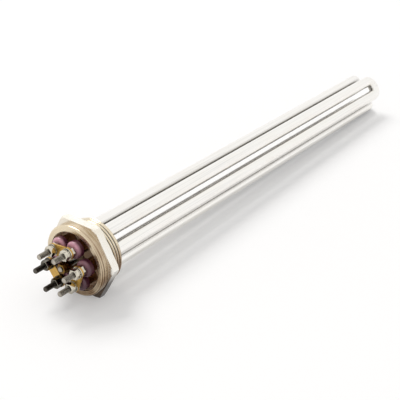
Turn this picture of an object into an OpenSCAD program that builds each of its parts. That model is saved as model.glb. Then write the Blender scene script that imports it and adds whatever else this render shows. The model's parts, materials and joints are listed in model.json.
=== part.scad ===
// Screw plug immersion heater: a stainless plug with a pipe thread carries three hairpin heating
// tubes. Their six terminal pins come out in the plug's recess, where bars link them in pairs.
// The plug's axis is X. X = 0 is the sealing face behind the hexagon: the thread and the tubes lie
// on the +X side, the terminals on the -X side. One hexagon flat faces down.

/* [Plug] */
// Hexagon, across flats
hex_af = 55; // [54:0.5:70]
// Hexagon, thickness along the axis
hex_t = 6; // [4:0.5:15]
// Turned chamfer on the hexagon's corners, along the axis
hex_chamfer = 0.8; // [0.2:0.1:1.5]
// Collar in front of the hexagon, outer diameter
collar_d = 54; // [50:0.5:54]
// Collar, length along the axis
collar_l = 6; // [3:0.5:15]
// Rounding of the collar's front outer edge
collar_round = 1.4; // [0.4:0.1:2]
// Terminal recess, diameter
recess_d = 44; // [42:0.5:47]
// Break of the recess's mouth
mouth_chamfer = 0.6; // [0.2:0.1:1]
// Distance from the sealing face to the recess floor, towards the terminals
floor_x = 4; // [0:0.5:6]

/* [Thread] */
// Pipe thread, outside diameter (1 1/2 inch parallel pipe thread)
thread_d = 47.8; // [46:0.1:51]
// Threaded shank, length from the sealing face
thread_l = 12; // [8:0.5:30]
// Thread depth, used for the lead chamfer
thread_depth = 1.48; // [0.8:0.02:1.6]

/* [Heating tubes] */
// Tube sheath, outside diameter
tube_d = 10; // [8:0.1:10.6]
// Tube sheath, wall
tube_wall = 0.8; // [0.5:0.05:1.2]
// Circle through the six legs, diameter
leg_circle_d = 28.6; // [28:0.2:31]
// Turn of the first leg from the horizontal, in degrees
leg_turn = 7; // [0:1:59]
// From the sealing face to the outside of the bends
immersion_l = 400; // [150:5:1000]
// Tube ends stand proud of the recess floor
tube_stand = 9; // [3:0.1:10]
// Terminal pins reach this far behind the sealing face, unheated
cold_l = 45; // [25:1:100]
// Heating coil, outside diameter of its turns
coil_d = 4.4; // [4.2:0.1:5]
// Moisture seal in each tube mouth, length
seal_l = 4; // [2:0.5:10]
// Weld bead round each tube, height and width
weld_size = 0.9; // [0.4:0.1:1.2]

/* [Terminals] */
// Terminal pin, diameter of its thread
pin_d = 4; // [3:0.1:4]
// Pin tips in front of the collar face
pin_reach = 24; // [18:1:60]
// Chamfer on pin and stud ends
pin_chamfer = 0.5; // [0.2:0.1:0.8]
// Insulating bush, outside diameter of its head
bush_d = 12.8; // [9:0.1:13]
// Bush front face in front of the collar face
bush_reach = 6; // [4:0.5:10]
// Rounding of the bush's front edge
bush_round = 2; // [0.5:0.1:3]
// Spigot of the bush inside the tube mouth, length
spigot_l = 4; // [2:0.5:8]
// Hexagon nuts, across flats
nut_af = 7; // [6.5:0.1:8]
// Hexagon nuts, thickness
nut_t = 3.2; // [2:0.1:4]
// Link bar, width
link_w = 9; // [8:0.1:10]
// Link bar, width at its waist
link_waist = 8.6; // [5:0.1:8.8]
// Link bar, thickness
link_t = 1; // [0.6:0.1:2]
// Flat washer, outside diameter
washer_d = 8.6; // [8:0.1:10]
// Flat washer, thickness
washer_t = 0.8; // [0.5:0.1:1.5]
// Spring washer, outside diameter
spring_d = 7.4; // [7:0.1:8]
// Spring washer, thickness
spring_t = 1; // [0.6:0.1:1.5]
// Split in the spring washer
spring_split = 0.8; // [0.4:0.1:1.5]
// Earth stud in the middle of the recess, diameter of its thread
earth_d = 4; // [3:0.1:5]
// Earth stud's end in front of the collar face
earth_reach = 14; // [6:1:30]
// Earth stud's end in front of its outer nut
earth_proud = 1; // [0.5:0.5:5]
// Earth stud, depth of its seat in the recess floor
earth_seat = 6; // [3:0.5:8]

/* [Fits] */
// Radial clearance of a piece in its hole
fit = 0.05; // [0.02:0.01:0.1]

/* [Hidden] */
$fn = 64;
hex_sides = 6;
leg_count = 6;
hairpin_count = 3;
leg_step = 360 / leg_count;
leg_r = leg_circle_d / 2;
// A hairpin's two legs are neighbours on the circle
half_pitch = leg_r * sin(leg_step / 2);
hairpin_r = leg_r * cos(leg_step / 2);
tube_r = tube_d / 2;
bore_r = tube_r - tube_wall;
pin_r = pin_d / 2;
thread_r = thread_d / 2;
root_r = thread_r - thread_depth;
bend_x = immersion_l - tube_r - half_pitch;
collar_x = -hex_t - collar_l;
tube_x = -floor_x - tube_stand;
seal_x = tube_x + spigot_l;
fill_x = seal_x + seal_l;
// Stack on each pin, counted outwards from the bush
bush_x = collar_x - bush_reach;
link_x = bush_x - nut_t;
washer_x = link_x - link_t;
spring_x = washer_x - washer_t;
top_nut_x = spring_x - spring_t;
pin_tip_x = collar_x - pin_reach;
// Stack on the earth stud, counted inwards from its end
earth_tip_x = collar_x - earth_reach;
earth_nut_x = earth_tip_x + earth_proud;
earth_washer_x = earth_nut_x + nut_t;
earth_lock_x = earth_washer_x + washer_t;

steel = "#b8b0a2";
mirror_steel = "#dcdcd8";
plated_steel = "#c4c2bc";
brass = "#c6a25a";
pink_ceramic = "#cf97a8";
magnesia = "#e8e4da";
resistance_wire = "#6f6a63";
silicone = "#b5563f";

// A shape drawn along Z, laid along X with its foot at x
module along_x(x = 0) {
    translate([x, 0, 0]) rotate([0, 90, 0]) children();
}

// Turns a shape that lies on the -Y side by an angle towards +Z
module turned(angle) {
    rotate([-angle, 0, 0]) children();
}

// Places a shape on the axis of leg i
module on_leg(i) {
    turned(leg_turn + leg_step * (i - 1)) translate([0, -leg_r, 0]) children();
}

module on_each_leg() {
    for (i = [1:leg_count]) on_leg(i) children();
}

// Places a shape midway between leg i and the next one
module between_legs(i) {
    turned(leg_turn + leg_step * (i - 0.5)) translate([0, -hairpin_r, 0]) children();
}

// Ring section, or a disc where inner is 0
module ring_section(outer, inner) {
    difference() {
        circle(outer);
        if (inner > 0) circle(inner);
    }
}

// Solid of revolution: a ring with straight ends
module ring(outer, inner, length) {
    linear_extrude(length) ring_section(outer, inner);
}

// Two straight legs and the half-circle bend that joins them, from one section
module hairpin(outer, inner, from_x) {
    for (side = [-1, 1])
        translate([0, 0, side * half_pitch])
            along_x(from_x) linear_extrude(bend_x - from_x) ring_section(outer, inner);
    translate([bend_x, 0, 0]) rotate([90, 0, 0]) rotate([0, 0, -90])
        rotate_extrude(angle = 180)
            translate([half_pitch, 0]) ring_section(outer, inner);
}

// Round bar with a chamfered tip, its tip at X = tip_x
module pin_bar(radius, tip_x, end_x) {
    along_x(tip_x) rotate_extrude()
        polygon([
            [0, 0],
            [radius - pin_chamfer, 0],
            [radius, pin_chamfer],
            [radius, end_x - tip_x],
            [0, end_x - tip_x]
        ]);
}

// Hexagon with its corners turned off to a cone on both faces, standing on Z = 0
module chamfered_hexagon(flats, thickness, chamfer) {
    corner_r = flats / 2 / cos(180 / hex_sides);
    intersection() {
        rotate([0, 0, 30]) cylinder(r = corner_r, h = thickness, $fn = hex_sides);
        rotate_extrude()
            polygon([
                [0, 0],
                [corner_r - 2 * chamfer, 0],
                [corner_r, chamfer],
                [corner_r, thickness - chamfer],
                [corner_r - 2 * chamfer, thickness],
                [0, thickness]
            ]);
    }
}

// Nut for a bolt of a given radius
module nut(bolt_r) {
    difference() {
        chamfered_hexagon(nut_af, nut_t, nut_t / 8);
        translate([0, 0, -1]) cylinder(r = bolt_r + fit, h = nut_t + 2);
    }
}

// Everything turned on the lathe: the collar with its rounded front edge, the core inside the
// hexagon, and the shank at the thread's outside diameter with its lead chamfer
module turned_body() {
    collar_r = collar_d / 2;
    along_x(collar_x) rotate_extrude() {
        translate([0, collar_round]) square([collar_r, collar_l + hex_t / 2 - collar_round]);
        square([collar_r - collar_round, collar_round]);
        intersection() {
            translate([collar_r - collar_round, collar_round]) circle(collar_round);
            translate([collar_r - collar_round, 0]) square(collar_round);
        }
        translate([0, -collar_x])
            polygon([
                [0, -hex_t],
                [thread_r, -hex_t],
                [thread_r, thread_l - thread_depth],
                [root_r, thread_l],
                [0, thread_l]
            ]);
    }
}

// Terminal recess with a broken edge at its mouth
module recess() {
    recess_r = recess_d / 2;
    depth = -floor_x - collar_x;
    along_x(collar_x) rotate_extrude()
        polygon([
            [0, -1],
            [recess_r + mouth_chamfer, -1],
            [recess_r + mouth_chamfer, 0],
            [recess_r, mouth_chamfer],
            [recess_r, depth],
            [0, depth]
        ]);
}

module screw_plug() {
    color(steel) difference() {
        union() {
            turned_body();
            along_x(-hex_t) chamfered_hexagon(hex_af, hex_t, hex_chamfer);
        }
        recess();
        on_each_leg() along_x(-floor_x - 1) cylinder(r = tube_r + fit, h = floor_x + thread_l + 2);
        along_x(-floor_x - 1) cylinder(r = earth_d / 2 + fit, h = earth_seat + 1);
    }
}

// Stud for the earth lead, seated in a blind hole in the recess floor
module earth_stud() {
    color(plated_steel) pin_bar(earth_d / 2, earth_tip_x, -floor_x + earth_seat);
}

// Two nuts on the earth stud, which clamp the lead's lug and its washer between them
module earth_nuts() {
    color(plated_steel) for (x = [earth_nut_x, earth_lock_x]) along_x(x) nut(earth_d / 2);
}

module earth_washer() {
    color(plated_steel) along_x(earth_washer_x) ring(washer_d / 2, earth_d / 2 + fit, washer_t);
}

// Fillet welds on the wet side, one round each tube
module weld_beads() {
    inner = tube_r + fit;
    color(mirror_steel) on_each_leg() along_x(thread_l) rotate_extrude()
        polygon([[inner, 0], [inner + weld_size, 0], [inner, weld_size]]);
}

module hairpin_sheath(i) {
    color(mirror_steel) between_legs(2 * i - 1) hairpin(tube_r, bore_r, tube_x);
}

// Packed powder between the coil and the sheath
module magnesia_fill(i) {
    color(magnesia) between_legs(2 * i - 1) hairpin(bore_r - fit, coil_d / 2 + fit, fill_x);
}

// The coil's outer form, from one pin's inner end round the bend to the other's
module heating_coil(i) {
    color(resistance_wire) between_legs(2 * i - 1) hairpin(coil_d / 2, 0, cold_l);
}

module terminal_pin(i) {
    color(plated_steel) on_leg(i) pin_bar(pin_r, pin_tip_x, cold_l);
}

module end_seal(i) {
    color(silicone) on_leg(i) along_x(seal_x) ring(bore_r - fit, pin_r + fit, seal_l);
}

// Bush on the tube's mouth: a rounded head, and a spigot inside the bore
module insulator_bush(i) {
    head_r = bush_d / 2;
    head_l = tube_x - bush_x;
    color(pink_ceramic) on_leg(i) along_x(bush_x) difference() {
        rotate_extrude() {
            translate([0, bush_round]) square([head_r, head_l - bush_round]);
            square([head_r - bush_round, bush_round]);
            intersection() {
                translate([head_r - bush_round, bush_round]) circle(bush_round);
                translate([head_r - bush_round, 0]) square(bush_round);
            }
            translate([0, head_l]) square([bore_r - fit, spigot_l]);
        }
        translate([0, 0, -1]) cylinder(r = pin_r + fit, h = head_l + spigot_l + 2);
    }
}

// Flat bar with round ends and a narrower waist, across two neighbouring pins
module link_bar(i) {
    color(brass) between_legs(2 * i) along_x(washer_x) linear_extrude(link_t) difference() {
        union() {
            square([2 * half_pitch, link_waist], center = true);
            for (side = [-1, 1]) translate([side * half_pitch, 0]) circle(link_w / 2);
        }
        for (side = [-1, 1]) translate([side * half_pitch, 0]) circle(pin_r + fit);
    }
}

// Nuts under the link bars
module lower_nuts() {
    color(plated_steel) on_each_leg() along_x(link_x) nut(pin_r);
}

module flat_washers() {
    color(plated_steel) on_each_leg() along_x(spring_x) ring(washer_d / 2, pin_r + fit, washer_t);
}

// Split washers, each split on the side away from the plug's axis
module spring_washers() {
    color(plated_steel) on_each_leg() along_x(top_nut_x) difference() {
        ring(spring_d / 2, pin_r + fit, spring_t);
        translate([-spring_split / 2, -spring_d, -1]) cube([spring_split, spring_d, spring_t + 2]);
    }
}

module top_nuts() {
    color(plated_steel) on_each_leg() along_x(top_nut_x - nut_t) nut(pin_r);
}

screw_plug();
earth_stud();
earth_nuts();
earth_washer();
weld_beads();
for (i = [1:hairpin_count]) {
    hairpin_sheath(i);
    magnesia_fill(i);
    heating_coil(i);
    link_bar(i);
}
for (i = [1:leg_count]) {
    terminal_pin(i);
    end_seal(i);
    insulator_bush(i);
}
lower_nuts();
flat_washers();
spring_washers();
top_nuts();
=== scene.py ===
"""Screw plug immersion heater: cuts its threads, gives each piece its finish and sets a studio stage."""

import json
import math

import bpy
from mathutils import Matrix, Vector


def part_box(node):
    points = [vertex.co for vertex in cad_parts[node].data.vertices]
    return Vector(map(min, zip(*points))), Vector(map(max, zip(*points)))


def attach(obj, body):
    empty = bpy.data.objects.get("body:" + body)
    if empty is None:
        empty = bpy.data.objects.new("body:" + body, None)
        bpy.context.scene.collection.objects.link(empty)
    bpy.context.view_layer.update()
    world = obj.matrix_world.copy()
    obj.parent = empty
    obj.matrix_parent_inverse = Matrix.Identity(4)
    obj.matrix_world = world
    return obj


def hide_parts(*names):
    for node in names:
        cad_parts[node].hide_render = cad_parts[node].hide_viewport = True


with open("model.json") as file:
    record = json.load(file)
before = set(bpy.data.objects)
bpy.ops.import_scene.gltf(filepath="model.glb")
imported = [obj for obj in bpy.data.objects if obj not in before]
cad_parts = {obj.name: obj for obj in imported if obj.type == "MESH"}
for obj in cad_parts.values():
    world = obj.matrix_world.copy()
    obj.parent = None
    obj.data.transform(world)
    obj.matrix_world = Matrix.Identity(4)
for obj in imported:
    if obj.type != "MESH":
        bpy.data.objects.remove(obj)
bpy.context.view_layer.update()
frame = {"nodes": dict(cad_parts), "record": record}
nodes = frame["nodes"]

bl_info = {
    "name": "Immersion heater dressing",
    "version": (1, 0, 0),
    "blender": (4, 5, 0),
    "location": "View3D > Sidebar > Heater",
    "description": "Threads, finishes and a studio stage for a screw plug immersion heater",
    "category": "Object",
}

MM = 0.001
LEGS = 6
HAIRPINS = 3
# Places on the plug and the bushes, as the CAD has them
HEX_FRONT = -6 * MM
RECESS_FLOOR = -4 * MM
RECESS_RADIUS = 22 * MM
COLLAR_RADIUS = 27 * MM
BUSH_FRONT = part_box("insulator_bush_1")[0].x
# Vertices of a CAD mesh closer than this are one
MERGE = 1e-6
SMOOTH = math.radians(35)
# Half angle of a groove: pipe threads have 55 degrees, metric ones 60
PIPE_FLANK = math.radians(27.5)
METRIC_FLANK = math.radians(30)
# Flat at the bottom of a metric groove, as a share of its pitch
METRIC_ROOT = 1 / 8
# How far a cutter stands past the crest, as a share of the groove's depth
OVERCUT = 0.2
PIPE_STEPS = 96
PIN_STEPS = 24
FLOOR_SIZE = 12.0
# Plain end of a threaded length, over its chamfer
LEAD = 0.6 * MM
# The piece's own attribute that says how deep in a thread a point lies: none on a crest, one at a root
GROOVE = "groove"
# Where the collar is browned most, by heat tint and painted shade, as a direction from the plug's axis
COLLAR_TINT_AND_SHADE_SIDE = (0, -0.3, -0.95)
# Where the painted shade on the hexagon, the shank, the collar's streaks and the bushes is deepest, as a
# direction from the plug's axis
SHADED_SIDE = (0, -0.6, -0.8)
# Where the pins and nuts are darkened most, as a direction from the plug's axis
DARK_PIN_SIDE = (0, 0.75, -0.66)
# From the middle of a bend to its end
BEND_REACH = 12 * MM
KEY_PLACE = (0.25, 0.75, 1.0)
KEY_SOFTNESS = math.radians(28)
SENSOR = 36.0
NEAREST = 0.01
FARTHEST = 100.0
WHITE = (1, 1, 1, 1)
# A colour Mix node's sockets: its factor, the colour below, the colour over it, and the result
FACTOR, UNDER, OVER, MIXED = 0, 6, 7, 2
# Rays that feel for a near surface at each point
CORNER_RAYS = 8


def linear(code):
    """An sRGB hex colour as linear red, green, blue and alpha"""
    channels = [int(code[i:i + 2], 16) / 255 for i in (1, 3, 5)]
    return tuple(c / 12.92 if c <= 0.04045 else ((c + 0.055) / 1.055) ** 2.4 for c in channels) + (1.0,)


def per_mm(*sizes):
    """A pattern's scales along X, Y and Z, from its real sizes in millimetres"""
    return [1 / (size * MM) for size in sizes]


def length(label, words, millimetres):
    """A length property in metres, from a size in millimetres"""
    return bpy.props.FloatProperty(
        name=label, description=words, default=millimetres * MM, unit="LENGTH", precision=5)


def colour(label, words, code):
    """A colour property from an sRGB hex value"""
    return bpy.props.FloatVectorProperty(
        name=label, description=words, default=linear(code), size=4, subtype="COLOR", min=0, max=1)


class HeaterSizes(bpy.types.PropertyGroup):
    """Sizes of what is cut and added here"""

    pipe_pitch: length("Pipe thread pitch", "Eleven threads to the inch", 2.309)
    pipe_depth: length("Pipe thread depth", "From crest to root", 1.4)
    pipe_root: length("Pipe thread root", "Flat at the bottom of the groove", 0.3)
    pipe_start: length("Pipe thread start", "First groove, from the sealing face", 1.4)
    pin_pitch: length("Pin thread pitch", "Coarse pitch of the terminal pins", 0.7)
    pin_depth: length("Pin thread depth", "From crest to root", 0.4)
    pin_thread: length("Pin thread length", "Threaded length from the tip", 21)
    stud_pitch: length("Stud thread pitch", "Coarse pitch of the earth stud", 0.7)
    stud_depth: length("Stud thread depth", "From crest to root", 0.4)
    stud_thread: length("Stud thread length", "Threaded length from the tip", 16)


class HeaterColours(bpy.types.PropertyGroup):
    """Colours of the finishes"""

    tube: colour("Tube steel", "Bright drawn stainless tube", "#F8F6F2")
    plug: colour("Plug steel", "Machined faces of the hexagon", "#F4F1EA")
    shank: colour("Shank steel", "Threaded shank, dulled by the welding", "#EDE4D2")
    straw: colour("Straw tint", "Light heat tint on the collar", "#EBDCC0")
    # Brown also paints shade: low on the shank, on the collar and on the tube ends in the recess
    brown: colour("Brown tint", "Deep heat tint on the collar", "#8C6C4C")
    rust: colour("Rust brown", "Dull oxide in the recess", "#E6C4A4")
    # Oxide also paints shade: on the hexagon's lowest flats and in the collar's streaks low on one side
    oxide: colour("Oxide", "Dark film in the recess and in the grooves", "#2B1D14")
    nickel: colour("Nickel plate", "Pins and stud, dulled by handling", "#B8B1A5")
    bright: colour("Bright plate", "Nuts and washers", "#D6CFBF")
    browned: colour("Browned plate", "Earth nuts and washer", "#7D5F28")
    # Smut also paints shade: where the tube legs face one another and in the corners of the plate
    smut: colour("Smut", "Dark film on the plate and in its threads", "#2A241D")
    brass: colour("Brass", "Link bars", "#CDA557")
    tarnish: colour("Tarnish", "Darker patches on the brass", "#7D5F28")
    glaze: colour("Pink glaze", "Ceramic bushes", "#E2A5B4")
    # Plum also paints shade: towards the back of the bushes and on their low sides
    plum: colour("Plum glaze", "Where the glaze has pooled or darkened", "#4A1F30")
    magnesia: colour("Magnesia", "Packed powder in the tubes", "#E8E4DA")
    wire: colour("Resistance wire", "Oxidised coil", "#6F6A63")
    silicone: colour("Silicone", "Seals in the tube mouths", "#B5563F")


class HeaterStage(bpy.types.PropertyGroup):
    """Camera, floor and light"""

    azimuth: bpy.props.FloatProperty(
        name="Azimuth", description="Camera's turn round the vertical", subtype="ANGLE",
        default=math.radians(-51.66))
    elevation: bpy.props.FloatProperty(
        name="Elevation", description="Camera's height angle", subtype="ANGLE", default=math.radians(27.98))
    roll: bpy.props.FloatProperty(
        name="Roll", description="Camera's turn round its own axis", subtype="ANGLE",
        default=math.radians(-0.42))
    distance: length("Distance", "Along the view, from the sealing face to the camera", 631.18)
    across: length("Across", "Camera's place to the right of the sealing face", 79.645)
    above: length("Above", "Camera's place above the sealing face in the view", 38.049)
    focal: bpy.props.FloatProperty(
        name="Focal length", description="In millimetres, on a sensor 36 mm wide", default=81.0)
    floor: colour("Floor", "White table", "#D4D3D2")
    floor_pale: colour("Pale floor", "Faintly paler patches of the table", "#E6E4E2")
    glow: bpy.props.FloatProperty(
        name="Floor glow", description="Part of the floor's white that takes no shadow", default=0.3)
    fill: bpy.props.FloatProperty(name="Fill light", description="Strength of the white room", default=0.62)
    key: bpy.props.FloatProperty(name="Key light", description="Strength of the large soft lamp", default=1.6)


# Materials

def add_node(tree, kind, inputs=(), out=None, **settings):
    """Adds a node, sets or links its inputs, by name or in their order, and gives the node or one output"""
    node = tree.nodes.new("ShaderNode" + kind)
    for name, value in settings.items():
        setattr(node, name, value)
    for key, value in inputs.items() if isinstance(inputs, dict) else enumerate(inputs):
        if isinstance(value, bpy.types.NodeSocket):
            tree.links.new(value, node.inputs[key])
        else:
            node.inputs[key].default_value = value
    return node if out is None else node.outputs[out]


def new_material(name, **constants):
    """A material with one Principled shader, and the values that are the same all over it"""
    material = bpy.data.materials.new(name)
    material.use_nodes = True
    tree = material.node_tree
    tree.nodes.clear()
    shader = add_node(tree, "BsdfPrincipled", constants)
    add_node(tree, "OutputMaterial", {"Surface": shader.outputs["BSDF"]})
    place = add_node(tree, "TexCoord", out="Object")
    return material, tree, shader, place


def seen_ray(tree):
    """One for rays that show a surface to the camera, straight or in a mirror, and none for those of light"""
    path = add_node(tree, "LightPath").outputs
    seen = path["Is Camera Ray"]
    for ray in ("Is Glossy Ray", "Is Transmission Ray"):
        seen = add_node(tree, "Math", [seen, path[ray]], "Value", operation="MAXIMUM")
    return seen


# Finishes

def bright_drawn_stainless(colours):
    # Stainless tube, drawn and belt polished: nearly a mirror, softened along the tube by draw lines, with
    # painted shade in smut where the legs face one another, and oxide with painted shade on its end in the
    # recess
    material, tree, shader, place = new_material("bright_drawn_stainless", Metallic=1.0)
    along = add_node(tree, "SeparateXYZ", [place], "X")
    # The draw lines are coarser than the real ones, so that they show
    drawn = add_node(tree, "Mapping", {"Vector": place, "Scale": per_mm(90, 0.5, 0.5)}, "Vector")
    lines = add_node(tree, "TexNoise", {"Vector": drawn, "Scale": 1.0, "Detail": 3.0}, "Fac")
    belted = add_node(tree, "Mapping", {"Vector": place, "Scale": per_mm(25, 9, 9)}, "Vector")
    clouds = add_node(tree, "TexNoise", {"Vector": belted, "Scale": 1.0, "Detail": 3.0}, "Fac")
    hazed = add_node(tree, "MapRange", [clouds, 0.4, 0.8, 0.0, 0.2], "Result")
    steel = add_node(tree, "Mix", {
        FACTOR: hazed, UNDER: colours.tube, OVER: colours.shank}, MIXED, data_type="RGBA")
    scored = add_node(tree, "MapRange", [lines, 0.5, 0.75, 0.0, 0.15], "Result")
    steel = add_node(tree, "Mix", {
        FACTOR: scored, UNDER: steel, OVER: colours.smut}, MIXED, data_type="RGBA")
    # Painted shade: smut where another surface is near, as where the legs face one another
    reach = add_node(tree, "AmbientOcclusion", {"Distance": 10 * MM}, "AO", samples=CORNER_RAYS)
    painted_crevice_shade = add_node(tree, "MapRange", [reach, 0.75, 0.35, 0.0, 0.82], "Result")
    steel = add_node(tree, "Mix", {
        FACTOR: painted_crevice_shade, UNDER: steel, OVER: colours.smut}, MIXED, data_type="RGBA")
    # Painted shade with the recess's oxide: brown on the tube's end in the recess
    painted_shade = add_node(tree, "MapRange", [
        along, RECESS_FLOOR + 0.5 * MM, RECESS_FLOOR - 1.5 * MM, 0.0, 0.9], "Result")
    steel = add_node(tree, "Mix", {
        FACTOR: painted_shade, UNDER: steel, OVER: colours.brown}, MIXED, data_type="RGBA")
    rough = add_node(tree, "MapRange", [lines, 0.3, 0.7, 0.1, 0.2], "Result")
    bump = add_node(tree, "Bump", {"Height": lines, "Strength": 0.2, "Distance": 0.01 * MM}, "Normal")
    tree.links.new(steel, shader.inputs["Base Color"])
    tree.links.new(rough, shader.inputs["Roughness"])
    tree.links.new(bump, shader.inputs["Normal"])
    return material


def turned_stainless(colours):
    # Stainless bar, turned and milled: bright on the hexagon, with painted shade on its lowest flats and low
    # on the shank, the welding's straw and brown heat tint on the collar laid out as painted light, dark
    # oxide in the recess and in the thread's grooves, and lathe lines all over
    material, tree, shader, place = new_material("turned_heat_tinted_stainless_with_painted_light")
    along = add_node(tree, "SeparateXYZ", [place], "X")
    across = add_node(tree, "Mapping", {"Vector": place, "Scale": (0, 1, 1)}, "Vector")
    radius = add_node(tree, "VectorMath", [across], "Value", operation="LENGTH")
    groove = add_node(tree, "Attribute", out="Fac", attribute_name=GROOVE)
    low_side = add_node(tree, "VectorMath", [place, SHADED_SIDE], "Value", operation="DOT_PRODUCT")
    collar_tint_and_shade_side = add_node(tree, "VectorMath", [place, COLLAR_TINT_AND_SHADE_SIDE], "Value", operation="DOT_PRODUCT")
    blotches = add_node(tree, "Mapping", {"Vector": place, "Scale": per_mm(14, 14, 14)}, "Vector")
    clouds = add_node(tree, "TexNoise", {"Vector": blotches, "Scale": 1.0, "Detail": 2.0}, "Fac")
    grit = add_node(tree, "Mapping", {"Vector": place, "Scale": per_mm(0.8, 0.8, 0.8)}, "Vector")
    specks = add_node(tree, "TexNoise", {"Vector": grit, "Scale": 1.0, "Detail": 2.0}, "Fac")
    # The lathe's lines and bands follow its feed, and are coarser than the real ones, so that they show
    feed = add_node(tree, "Math", [radius, along], "Value", operation="ADD")
    lathe = add_node(tree, "TexNoise", {
        "W": feed, "Scale": 1 / (0.25 * MM), "Detail": 1.0}, "Fac", noise_dimensions="1D")
    bands = add_node(tree, "TexNoise", {
        "W": feed, "Scale": 1 / (1.1 * MM), "Detail": 1.0}, "Fac", noise_dimensions="1D")
    # Collar: heat tint from straw to brown in clouds and bands, laid out as painted light: straw at the top
    # as a painted highlight, brown low on one side and round the edge as painted shade
    low = add_node(tree, "MapRange", [collar_tint_and_shade_side, -26 * MM, 18 * MM, 0.0, 0.8], "Result")
    edge = add_node(tree, "MapRange", [radius, COLLAR_RADIUS - 0.5 * MM, COLLAR_RADIUS, 0.0, 0.3], "Result")
    heat_tint_and_painted_shade = add_node(tree, "Math", [low, edge], "Value", operation="ADD")
    cloudy = add_node(tree, "MapRange", [clouds, 0.3, 0.6, 0.6, 1.2], "Result")
    banded = add_node(tree, "MapRange", [bands, 0.3, 0.7, 0.7, 1.25], "Result")
    uneven = add_node(tree, "Math", [cloudy, banded], "Value", operation="MULTIPLY")
    depth = add_node(tree, "Math", [heat_tint_and_painted_shade, uneven], "Value", operation="MULTIPLY")
    tint = add_node(tree, "Mix", {
        FACTOR: depth, UNDER: colours.straw, OVER: colours.brown}, MIXED, data_type="RGBA")
    lined = add_node(tree, "MapRange", [lathe, 0.45, 0.75, 0.0, 0.2], "Result")
    tint = add_node(tree, "Mix", {FACTOR: lined, UNDER: tint, OVER: colours.oxide}, MIXED, data_type="RGBA")
    # Painted shade: dark lathe bands on the collar, only low on one side
    dark = add_node(tree, "MapRange", [bands, 0.5, 0.62], "Result")
    streak_shade_weight = add_node(tree, "MapRange", [low_side, -6 * MM, 14 * MM, 0.0, 0.6], "Result")
    streaks = add_node(tree, "Math", [dark, streak_shade_weight], "Value", operation="MULTIPLY")
    tint = add_node(tree, "Mix", {
        FACTOR: streaks, UNDER: tint, OVER: colours.oxide}, MIXED, data_type="RGBA")
    # Hexagon: bright with a faint haze, and painted shade in dark oxide on its lowest flats
    hazed = add_node(tree, "MapRange", [clouds, 0.35, 0.65, 0.0, 0.6], "Result")
    milled = add_node(tree, "Mix", {
        FACTOR: hazed, UNDER: colours.plug, OVER: colours.shank}, MIXED, data_type="RGBA")
    # Painted shade: dark oxide on the hexagon's lowest flats
    tarnish_and_painted_shade = add_node(tree, "MapRange", [low_side, 20 * MM, 25 * MM, 0.0, 0.93], "Result")
    milled = add_node(tree, "Mix", {
        FACTOR: tarnish_and_painted_shade, UNDER: milled, OVER: colours.oxide}, MIXED, data_type="RGBA")
    # Shank: dulled, with painted shade in brown low on one side
    painted_shade = add_node(tree, "MapRange", [low_side, 2 * MM, 18 * MM, 0.0, 0.85], "Result")
    turned = add_node(tree, "Mix", {
        FACTOR: painted_shade, UNDER: colours.shank, OVER: colours.brown}, MIXED, data_type="RGBA")
    shank = add_node(tree, "MapRange", [along, 0.0, 0.4 * MM], "Result")
    surface = add_node(tree, "Mix", {FACTOR: shank, UNDER: milled, OVER: turned}, MIXED, data_type="RGBA")
    collar = add_node(tree, "MapRange", [along, HEX_FRONT + 0.1 * MM, HEX_FRONT - 0.3 * MM], "Result")
    surface = add_node(tree, "Mix", {FACTOR: collar, UNDER: surface, OVER: tint}, MIXED, data_type="RGBA")
    # Recess: a matt oxide crust in place of bare metal
    within = add_node(tree, "MapRange", [radius, RECESS_RADIUS + 0.4 * MM, RECESS_RADIUS], "Result")
    sunk = add_node(tree, "MapRange", [along, RECESS_FLOOR + 0.4 * MM, RECESS_FLOOR + 0.1 * MM], "Result")
    inside = add_node(tree, "Math", [within, sunk], "Value", operation="MULTIPLY")
    patchy = add_node(tree, "MapRange", [clouds, 0.35, 0.65, 0.0, 0.2], "Result")
    wall = add_node(tree, "Mix", {
        FACTOR: patchy, UNDER: colours.rust, OVER: colours.oxide}, MIXED, data_type="RGBA")
    surface = add_node(tree, "Mix", {FACTOR: inside, UNDER: surface, OVER: wall}, MIXED, data_type="RGBA")
    # Thread: oxide in the grooves
    root = add_node(tree, "MapRange", [groove, 0.4, 0.85, 0.0, 0.95], "Result")
    surface = add_node(tree, "Mix", {
        FACTOR: root, UNDER: surface, OVER: colours.oxide}, MIXED, data_type="RGBA")
    bare = add_node(tree, "MapRange", [inside, 0.0, 1.0, 1.0, 0.0], "Result")
    rough = add_node(tree, "MapRange", [specks, 0.3, 0.7, 0.18, 0.32], "Result")
    bump = add_node(tree, "Bump", {"Height": lathe, "Strength": 0.25, "Distance": 0.02 * MM}, "Normal")
    tree.links.new(surface, shader.inputs["Base Color"])
    tree.links.new(bare, shader.inputs["Metallic"])
    tree.links.new(rough, shader.inputs["Roughness"])
    tree.links.new(bump, shader.inputs["Normal"])
    return material


def weld_stainless(colours):
    # Stainless weld metal, as laid: rippled, duller than the tube, browned in the ripples
    material, tree, shader, place = new_material("stainless_weld", Metallic=1.0)
    laid = add_node(tree, "Mapping", {"Vector": place, "Scale": per_mm(0.7, 0.7, 0.7)}, "Vector")
    ripples = add_node(tree, "TexNoise", {"Vector": laid, "Scale": 1.0, "Detail": 2.0}, "Fac")
    browned = add_node(tree, "MapRange", [ripples, 0.35, 0.7], "Result")
    weld = add_node(tree, "Mix", {
        FACTOR: browned, UNDER: colours.shank, OVER: colours.brown}, MIXED, data_type="RGBA")
    rough = add_node(tree, "MapRange", [ripples, 0.3, 0.7, 0.25, 0.45], "Result")
    bump = add_node(tree, "Bump", {"Height": ripples, "Strength": 0.4, "Distance": 0.1 * MM}, "Normal")
    tree.links.new(weld, shader.inputs["Base Color"])
    tree.links.new(rough, shader.inputs["Roughness"])
    tree.links.new(bump, shader.inputs["Normal"])
    return material


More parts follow.
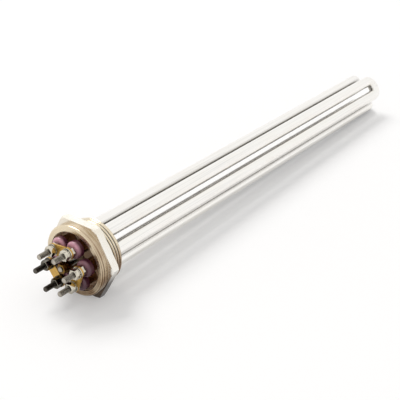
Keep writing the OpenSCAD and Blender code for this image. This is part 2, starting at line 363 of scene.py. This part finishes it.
def nickel_plate(colours, bare):
    # Steel with bright nickel plate: silver with a faint warmth, or browned, with smut in patches and in the
    # threads, darker towards one side of the plug, and painted shade in smut in corners
    material, tree, shader, place = new_material("bright_nickel_plate", Metallic=1.0)
    handled = add_node(tree, "Mapping", {"Vector": place, "Scale": per_mm(2.5, 2.5, 2.5)}, "Vector")
    patches = add_node(tree, "TexNoise", {"Vector": handled, "Scale": 1.0, "Detail": 4.0}, "Fac")
    grit = add_node(tree, "Mapping", {"Vector": place, "Scale": per_mm(0.3, 0.3, 0.3)}, "Vector")
    fine = add_node(tree, "TexNoise", {"Vector": grit, "Scale": 1.0, "Detail": 2.0}, "Fac")
    groove = add_node(tree, "Attribute", out="Fac", attribute_name=GROOVE)
    dark_pin_side = add_node(tree, "VectorMath", [place, DARK_PIN_SIDE], "Value", operation="DOT_PRODUCT")
    reach = add_node(tree, "AmbientOcclusion", {"Distance": 4 * MM}, "AO", samples=CORNER_RAYS)
    plate = bare
    for source, faint_end, dark_end, most in (
            (patches, 0.5, 0.75, 0.5),
            (dark_pin_side, -3 * MM, 11 * MM, 0.84),
            (groove, 0.2, 0.9, 0.9),
            # Painted shade: darker in corners, where another surface is near
            (reach, 0.85, 0.4, 0.85)):
        film_and_painted_shade = add_node(tree, "MapRange", [source, faint_end, dark_end, 0.0, most], "Result")
        plate = add_node(tree, "Mix", {
            FACTOR: film_and_painted_shade, UNDER: plate, OVER: colours.smut}, MIXED, data_type="RGBA")
    rough = add_node(tree, "MapRange", [fine, 0.3, 0.7, 0.07, 0.16], "Result")
    bump = add_node(tree, "Bump", {"Height": fine, "Strength": 0.1, "Distance": 0.01 * MM}, "Normal")
    tree.links.new(plate, shader.inputs["Base Color"])
    tree.links.new(rough, shader.inputs["Roughness"])
    tree.links.new(bump, shader.inputs["Normal"])
    return material


def stamped_brass(colours):
    # Half hard brass strip, stamped: rolling lines along it, tarnished in patches
    material, tree, shader, place = new_material("stamped_brass", Metallic=1.0)
    handled = add_node(tree, "Mapping", {"Vector": place, "Scale": per_mm(4, 4, 4)}, "Vector")
    patches = add_node(tree, "TexNoise", {"Vector": handled, "Scale": 1.0, "Detail": 4.0}, "Fac")
    rolled = add_node(tree, "Mapping", {"Vector": place, "Scale": per_mm(0.25, 6, 0.25)}, "Vector")
    lines = add_node(tree, "TexNoise", {"Vector": rolled, "Scale": 1.0, "Detail": 2.0}, "Fac")
    tarnish_and_painted_shade = add_node(tree, "MapRange", [patches, 0.42, 0.75, 0.0, 0.6], "Result")
    brass = add_node(tree, "Mix", {
        FACTOR: tarnish_and_painted_shade, UNDER: colours.brass, OVER: colours.tarnish}, MIXED, data_type="RGBA")
    rough = add_node(tree, "MapRange", [lines, 0.3, 0.7, 0.22, 0.36], "Result")
    bump = add_node(tree, "Bump", {"Height": lines, "Strength": 0.15, "Distance": 0.01 * MM}, "Normal")
    tree.links.new(brass, shader.inputs["Base Color"])
    tree.links.new(rough, shader.inputs["Roughness"])
    tree.links.new(bump, shader.inputs["Normal"])
    return material


def glazed_ceramic(colours, centre):
    # Pressed ceramic with a pink glaze: a wet gloss over faintly mottled colour, with painted shade in plum
    # towards the back of each bush, on the bushes low in the recess and on each bush's own low side
    material, tree, shader, place = new_material("glazed_pink_ceramic", Roughness=0.24, IOR=1.5)
    along = add_node(tree, "SeparateXYZ", [place], "X")
    low_side = add_node(tree, "VectorMath", [place, SHADED_SIDE], "Value", operation="DOT_PRODUCT")
    fired = add_node(tree, "Mapping", {"Vector": place, "Scale": per_mm(2.2, 2.2, 2.2)}, "Vector")
    mottle = add_node(tree, "TexNoise", {"Vector": fired, "Scale": 1.0, "Detail": 4.0}, "Fac")
    # Painted shade: plum towards the back of the bush, deeper in the recess
    painted_depth_shade = add_node(tree, "MapRange", [along, BUSH_FRONT + 0.6 * MM, BUSH_FRONT + 3 * MM], "Result")
    mottled = add_node(tree, "MapRange", [mottle, 0.4, 0.75, 0.0, 0.25], "Result")
    shade = add_node(tree, "Math", [painted_depth_shade, mottled], "Value", operation="ADD")
    glaze = add_node(tree, "Mix", {
        FACTOR: shade, UNDER: colours.glaze, OVER: colours.plum}, MIXED, data_type="RGBA")
    # Painted shade: plum on the bushes that sit low in the recess
    painted_recess_shade = add_node(tree, "MapRange", [low_side, -9 * MM, 8 * MM, 0.0, 0.85], "Result")
    glaze = add_node(tree, "Mix", {
        FACTOR: painted_recess_shade, UNDER: glaze, OVER: colours.plum}, MIXED, data_type="RGBA")
    # Painted shade: plum on each bush's own low side
    middle = Vector(SHADED_SIDE).dot(centre)
    painted_shade = add_node(tree, "MapRange", [low_side, middle, middle + 5 * MM, 0.0, 0.8], "Result")
    glaze = add_node(tree, "Mix", {
        FACTOR: painted_shade, UNDER: glaze, OVER: colours.plum}, MIXED, data_type="RGBA")
    bump = add_node(tree, "Bump", {"Height": mottle, "Strength": 0.1, "Distance": 0.03 * MM}, "Normal")
    tree.links.new(glaze, shader.inputs["Base Color"])
    tree.links.new(bump, shader.inputs["Normal"])
    return material


def packed_magnesia(colours):
    # Magnesia powder, compacted: matt off white with a fine grain
    material, tree, shader, place = new_material("packed_magnesia", Roughness=0.9)
    packed = add_node(tree, "Mapping", {"Vector": place, "Scale": per_mm(0.4, 0.4, 0.4)}, "Vector")
    grain = add_node(tree, "TexNoise", {"Vector": packed, "Scale": 1.0, "Detail": 3.0}, "Fac")
    pale = add_node(tree, "MapRange", [grain, 0.4, 0.8, 0.0, 0.3], "Result")
    powder = add_node(tree, "Mix", {
        FACTOR: pale, UNDER: colours.magnesia, OVER: colours.plug}, MIXED, data_type="RGBA")
    bump = add_node(tree, "Bump", {"Height": grain, "Strength": 0.3, "Distance": 0.05 * MM}, "Normal")
    tree.links.new(powder, shader.inputs["Base Color"])
    tree.links.new(bump, shader.inputs["Normal"])
    return material


def oxidised_wire(colours):
    # Resistance wire, wound and oxidised: dull grey with the wire's turns showing as bands
    material, tree, shader, place = new_material("oxidised_resistance_wire", Metallic=1.0, Roughness=0.5)
    wound = add_node(tree, "Mapping", {"Vector": place, "Scale": (1 / (1.2 * MM), 0, 0)}, "Vector")
    turns = add_node(tree, "TexWave", {"Vector": wound, "Scale": 0.5}, "Fac", wave_type="BANDS")
    wire = add_node(tree, "Mix", {
        FACTOR: turns, UNDER: colours.smut, OVER: colours.wire}, MIXED, data_type="RGBA")
    bump = add_node(tree, "Bump", {"Height": turns, "Strength": 0.6, "Distance": 0.2 * MM}, "Normal")
    tree.links.new(wire, shader.inputs["Base Color"])
    tree.links.new(bump, shader.inputs["Normal"])
    return material


def cured_silicone(colours):
    # Silicone compound, poured and cured: satin brick red, slightly uneven
    material, tree, shader, place = new_material("cured_silicone", Roughness=0.45)
    poured = add_node(tree, "Mapping", {"Vector": place, "Scale": per_mm(1.5, 1.5, 1.5)}, "Vector")
    cloud = add_node(tree, "TexNoise", {"Vector": poured, "Scale": 1.0, "Detail": 3.0}, "Fac")
    uneven = add_node(tree, "MapRange", [cloud, 0.35, 0.75, 0.0, 0.4], "Result")
    seal = add_node(tree, "Mix", {
        FACTOR: uneven, UNDER: colours.silicone, OVER: colours.brown}, MIXED, data_type="RGBA")
    bump = add_node(tree, "Bump", {"Height": cloud, "Strength": 0.2, "Distance": 0.05 * MM}, "Normal")
    tree.links.new(seal, shader.inputs["Base Color"])
    tree.links.new(bump, shader.inputs["Normal"])
    return material


# Modelling

def only(piece):
    """Makes a piece the only one selected, and the active one"""
    bpy.ops.object.select_all(action="DESELECT")
    piece.select_set(True)
    bpy.context.view_layer.objects.active = piece


def copy_of(node, name):
    """A merged copy of a CAD node's mesh, to be worked on"""
    piece = bpy.data.objects.new(name, nodes[node].data.copy())
    bpy.context.scene.collection.objects.link(piece)
    only(piece)
    bpy.ops.mesh.customdata_custom_splitnormals_clear()
    bpy.ops.object.mode_set(mode="EDIT")
    bpy.ops.mesh.select_all(action="SELECT")
    bpy.ops.mesh.remove_doubles(threshold=MERGE)
    bpy.ops.object.mode_set(mode="OBJECT")
    return piece


def thread_cutter(start, reach, crest, depth, root, flank, pitch, steps):
    """A right-hand helical groove round X as a closed body, from start over a reach"""
    height = depth * (1 + OVERCUT)
    wide = root + 2 * height * math.tan(flank)
    bpy.ops.object.select_all(action="DESELECT")
    bpy.ops.mesh.primitive_plane_add(size=1, rotation=(math.pi / 2, 0, 0))
    cutter = bpy.context.object
    cutter.scale = (wide, height, 1)
    cutter.location = (start, 0, crest - depth + height / 2)
    bpy.ops.object.transform_apply(location=True, rotation=True, scale=True)
    bpy.ops.object.mode_set(mode="EDIT")
    bpy.ops.mesh.select_all(action="DESELECT")
    bpy.ops.object.mode_set(mode="OBJECT")
    for vertex in cutter.data.vertices:
        vertex.select = vertex.co.z < crest - depth / 2
    bpy.ops.object.mode_set(mode="EDIT")
    bpy.ops.transform.resize(value=(root / wide, 1, 1), center_override=(start, 0, crest - depth))
    bpy.ops.object.mode_set(mode="OBJECT")
    helix = cutter.modifiers.new("helix", "SCREW")
    helix.axis = "X"
    helix.angle = 2 * math.pi
    helix.screw_offset = pitch
    helix.iterations = math.ceil(reach / pitch)
    helix.steps = steps
    helix.render_steps = steps
    bpy.ops.object.modifier_apply(modifier="helix")
    bpy.ops.object.mode_set(mode="EDIT")
    bpy.ops.mesh.select_all(action="SELECT")
    bpy.ops.mesh.fill_holes(sides=0)
    bpy.ops.mesh.select_all(action="SELECT")
    bpy.ops.mesh.normals_make_consistent(inside=False)
    bpy.ops.object.mode_set(mode="OBJECT")
    return cutter


def cut(piece, cutter, crest, depth, start, end):
    """Takes a thread's groove out of a piece, and marks how deep each point from start to end lies in it"""
    only(piece)
    groove = piece.modifiers.new("groove", "BOOLEAN")
    groove.operation = "DIFFERENCE"
    groove.solver = "EXACT"
    groove.object = cutter
    bpy.ops.object.modifier_apply(modifier="groove")
    bpy.data.objects.remove(cutter)
    mark = piece.data.attributes.new(GROOVE, "FLOAT", "POINT")
    for vertex, value in zip(piece.data.vertices, mark.data):
        sunk = (crest - vertex.co.yz.length) / depth
        value.value = min(max(sunk, 0), 1) if start < vertex.co.x < end else 0
    if not any(value.value for value in mark.data):
        raise RuntimeError(f"No groove was cut in {piece.name}")


def dress(piece, material):
    """Gives a piece one finish"""
    piece.data.materials.clear()
    piece.data.materials.append(material)


def stand_for(piece, node, material):
    """Finishes a new piece and puts it in the place of a CAD node"""
    only(piece)
    bpy.ops.object.shade_smooth_by_angle(angle=SMOOTH)
    dress(piece, material)
    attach(piece, "root")
    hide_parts(node)


def numbered(stem, count):
    """The names of like nodes"""
    return [f"{stem}_{i}" for i in range(1, count + 1)]


class HEATER_OT_screw_plug(bpy.types.Operator):
    """Cuts the pipe thread on the plug and tints its steel, with painted light and shade"""

    bl_idname = "heater.screw_plug"
    bl_label = "Screw plug"

    def execute(self, context):
        sizes = context.scene.heater_sizes
        thread = next(m for m in frame["record"]["mounts"] if m["name"] == "thread")
        crest = thread["dims"]["r_mm"] * MM
        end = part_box("screw_plug")[1].x
        plug = copy_of("screw_plug", "threaded_plug")
        cutter = thread_cutter(
            sizes.pipe_start, end - sizes.pipe_start + sizes.pipe_pitch, crest, sizes.pipe_depth,
            sizes.pipe_root, PIPE_FLANK, sizes.pipe_pitch, PIPE_STEPS)
        cut(plug, cutter, crest, sizes.pipe_depth, LEAD, end - sizes.pipe_depth)
        stand_for(plug, "screw_plug", turned_stainless(context.scene.heater_colours))
        return {"FINISHED"}


class HEATER_OT_terminal_pins(bpy.types.Operator):
    """Cuts one terminal pin's thread and copies the pin to each tube leg"""

    bl_idname = "heater.terminal_pins"
    bl_label = "Terminal pins"

    def execute(self, context):
        sizes = context.scene.heater_sizes
        colours = context.scene.heater_colours
        material = nickel_plate(colours, colours.nickel)
        names = numbered("terminal_pin", LEGS)
        places = [sum(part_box(name), Vector()) / 2 for name in names]
        low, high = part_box(names[0])
        crest = (high.y - low.y) / 2
        first = copy_of(names[0], "threaded_pin")
        first.data.transform(Matrix.Translation((0, -places[0].y, -places[0].z)))
        cutter = thread_cutter(
            low.x - sizes.pin_pitch, sizes.pin_thread, crest, sizes.pin_depth, sizes.pin_pitch * METRIC_ROOT,
            METRIC_FLANK, sizes.pin_pitch, PIN_STEPS)
        cut(first, cutter, crest, sizes.pin_depth, low.x + LEAD, high.x)
        for name, place in zip(names, places):
            pin = bpy.data.objects.new(f"threaded_{name}", first.data.copy())
            context.scene.collection.objects.link(pin)
            pin.data.transform(Matrix.Translation((0, place.y, place.z)))
            stand_for(pin, name, material)
        bpy.data.objects.remove(first)
        return {"FINISHED"}


class HEATER_OT_earth_stud(bpy.types.Operator):
    """Cuts the earth stud's thread"""

    bl_idname = "heater.earth_stud"
    bl_label = "Earth stud"

    def execute(self, context):
        sizes = context.scene.heater_sizes
        low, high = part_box("earth_stud")
        stud = copy_of("earth_stud", "threaded_earth_stud")
        cutter = thread_cutter(
            low.x - sizes.stud_pitch, sizes.stud_thread, high.y, sizes.stud_depth,
            sizes.stud_pitch * METRIC_ROOT, METRIC_FLANK, sizes.stud_pitch, PIN_STEPS)
        cut(stud, cutter, high.y, sizes.stud_depth, low.x + LEAD, high.x)
        colours = context.scene.heater_colours
        stand_for(stud, "earth_stud", nickel_plate(colours, colours.nickel))
        return {"FINISHED"}


class HEATER_OT_tubes(bpy.types.Operator):
    """Polishes the hairpin sheaths and colours their welds"""

    bl_idname = "heater.tubes"
    bl_label = "Heating tubes"

    def execute(self, context):
        colours = context.scene.heater_colours
        material = bright_drawn_stainless(colours)
        for name in numbered("hairpin_sheath", HAIRPINS):
            dress(nodes[name], material)
        dress(nodes["weld_beads"], weld_stainless(colours))
        return {"FINISHED"}


class HEATER_OT_inner_parts(bpy.types.Operator):
    """Finishes what lies inside the tubes: powder, coils and seals"""

    bl_idname = "heater.inner_parts"
    bl_label = "Inner parts"

    def execute(self, context):
        colours = context.scene.heater_colours
        for stem, count, finish in (
                ("magnesia_fill", HAIRPINS, packed_magnesia),
                ("heating_coil", HAIRPINS, oxidised_wire),
                ("end_seal", LEGS, cured_silicone)):
            material = finish(colours)
            for name in numbered(stem, count):
                dress(nodes[name], material)
        return {"FINISHED"}


class HEATER_OT_bushes(bpy.types.Operator):
    """Glazes the ceramic bushes"""

    bl_idname = "heater.bushes"
    bl_label = "Ceramic bushes"

    def execute(self, context):
        for name in numbered("insulator_bush", LEGS):
            centre = sum(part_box(name), Vector()) / 2
            dress(nodes[name], glazed_ceramic(context.scene.heater_colours, centre))
        return {"FINISHED"}


class HEATER_OT_links(bpy.types.Operator):
    """Finishes the brass link bars"""

    bl_idname = "heater.links"
    bl_label = "Link bars"

    def execute(self, context):
        material = stamped_brass(context.scene.heater_colours)
        for name in numbered("link_bar", HAIRPINS):
            dress(nodes[name], material)
        return {"FINISHED"}


class HEATER_OT_fasteners(bpy.types.Operator):
    """Plates the nuts and washers"""

    bl_idname = "heater.fasteners"
    bl_label = "Nuts and washers"

    def execute(self, context):
        colours = context.scene.heater_colours
        bright = nickel_plate(colours, colours.bright)
        for name in ("lower_nuts", "flat_washers", "spring_washers", "top_nuts"):
            dress(nodes[name], bright)
        browned = nickel_plate(colours, colours.browned)
        for name in ("earth_nuts", "earth_washer"):
            dress(nodes[name], browned)
        return {"FINISHED"}


class HEATER_OT_stage(bpy.types.Operator):
    """Lays the white floor and sets the light and the camera"""

    bl_idname = "heater.stage"
    bl_label = "Stage"

    def execute(self, context):
        scene = context.scene
        stage = scene.heater_stage
        scene.view_settings.view_transform = "Standard"
        self.floor(stage)
        self.light(scene, stage)
        self.camera(scene, stage)
        return {"FINISHED"}

    def floor(self, stage):
        # The part lies on the hexagon's rear edge and on the lowest bend
        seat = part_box("screw_plug")[0].z
        tubes = [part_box(name) for name in numbered("hairpin_sheath", HAIRPINS)]
        lowest = min(low.z for low, high in tubes)
        far = max(high.x for low, high in tubes) - BEND_REACH
        bpy.ops.object.select_all(action="DESELECT")
        bpy.ops.mesh.primitive_plane_add(
            size=FLOOR_SIZE, location=(0, 0, seat), rotation=(0, -math.atan2(lowest - seat, far), 0))
        floor = bpy.context.object
        floor.name = "floor"
        material, tree, shader, place = new_material("matt_white_table", Roughness=0.7)
        shader.inputs["Emission Color"].default_value = WHITE
        wiped = add_node(tree, "Mapping", {"Vector": place, "Scale": per_mm(400, 400, 400)}, "Vector")
        shade = add_node(tree, "TexNoise", {"Vector": wiped, "Scale": 1.0, "Detail": 1.0}, "Fac")
        patchy = add_node(tree, "MapRange", [shade, 0.3, 0.7, 0.0, 0.06], "Result")
        top = add_node(tree, "Mix", {
            FACTOR: patchy, UNDER: stage.floor, OVER: stage.floor_pale}, MIXED, data_type="RGBA")
        glow = add_node(tree, "MapRange", [seen_ray(tree), 0.0, 1.0, 0.0, stage.glow], "Result")
        tree.links.new(top, shader.inputs["Base Color"])
        tree.links.new(glow, shader.inputs["Emission Strength"])
        dress(floor, material)

    def light(self, scene, stage):
        world = bpy.data.worlds.new("white_room")
        scene.world = world
        world.use_nodes = True
        tree = world.node_tree
        tree.nodes.clear()
        strength = add_node(tree, "MapRange", [seen_ray(tree), 0.0, 1.0, stage.fill, 1.0], "Result")
        room = add_node(tree, "Background", {"Color": WHITE, "Strength": strength}, "Background")
        add_node(tree, "OutputWorld", {"Surface": room})
        bpy.ops.object.light_add(type="SUN", location=KEY_PLACE)
        key = bpy.context.object
        key.name = "key_light"
        key.rotation_euler = Vector(KEY_PLACE).to_track_quat("Z", "Y").to_euler()
        key.data.energy = stage.key
        key.data.angle = KEY_SOFTNESS

    def camera(self, scene, stage):
        turn, height = stage.azimuth, stage.elevation
        back = Vector((
            math.sin(turn) * math.cos(height), -math.cos(turn) * math.cos(height), math.sin(height)))
        level = Vector((math.cos(turn), math.sin(turn), 0))
        upright = back.cross(level)
        right = level * math.cos(stage.roll) + upright * math.sin(stage.roll)
        up = back.cross(right)
        bpy.ops.object.camera_add()
        camera = bpy.context.object
        camera.name = "photo_camera"
        place = Matrix((right, up, back)).transposed().to_4x4()
        place.translation = back * stage.distance + right * stage.across + up * stage.above
        camera.matrix_world = place
        camera.data.sensor_width = SENSOR
        camera.data.lens = stage.focal
        camera.data.clip_start = NEAREST
        camera.data.clip_end = FARTHEST
        scene.camera = camera


class HEATER_PT_dressing(bpy.types.Panel):
    """Lists the steps of the dressing"""

    bl_label = "Immersion heater"
    bl_space_type = "VIEW_3D"
    bl_region_type = "UI"
    bl_category = "Heater"

    def draw(self, context):
        for group in (context.scene.heater_sizes, context.scene.heater_colours, context.scene.heater_stage):
            box = self.layout.box()
            for name in type(group).__annotations__:
                box.prop(group, name)
        for step in STEPS:
            self.layout.operator(step.bl_idname)


GROUPS = (("heater_sizes", HeaterSizes), ("heater_colours", HeaterColours), ("heater_stage", HeaterStage))
STEPS = (
    HEATER_OT_screw_plug, HEATER_OT_tubes, HEATER_OT_inner_parts, HEATER_OT_bushes, HEATER_OT_terminal_pins,
    HEATER_OT_earth_stud, HEATER_OT_links, HEATER_OT_fasteners, HEATER_OT_stage,
)


def register():
    for name, group in GROUPS:
        bpy.utils.register_class(group)
        setattr(bpy.types.Scene, name, bpy.props.PointerProperty(type=group))
    for step in STEPS:
        bpy.utils.register_class(step)
    bpy.utils.register_class(HEATER_PT_dressing)


def unregister():
    bpy.utils.unregister_class(HEATER_PT_dressing)
    for step in reversed(STEPS):
        bpy.utils.unregister_class(step)
    for name, group in reversed(GROUPS):
        delattr(bpy.types.Scene, name)
        bpy.utils.unregister_class(group)


def main():
    register()
    bpy.ops.heater.screw_plug()
    bpy.ops.heater.tubes()
    bpy.ops.heater.inner_parts()
    bpy.ops.heater.bushes()
    bpy.ops.heater.terminal_pins()
    bpy.ops.heater.earth_stud()
    bpy.ops.heater.links()
    bpy.ops.heater.fasteners()
    bpy.ops.heater.stage()


if __name__ == "__main__":
    main()
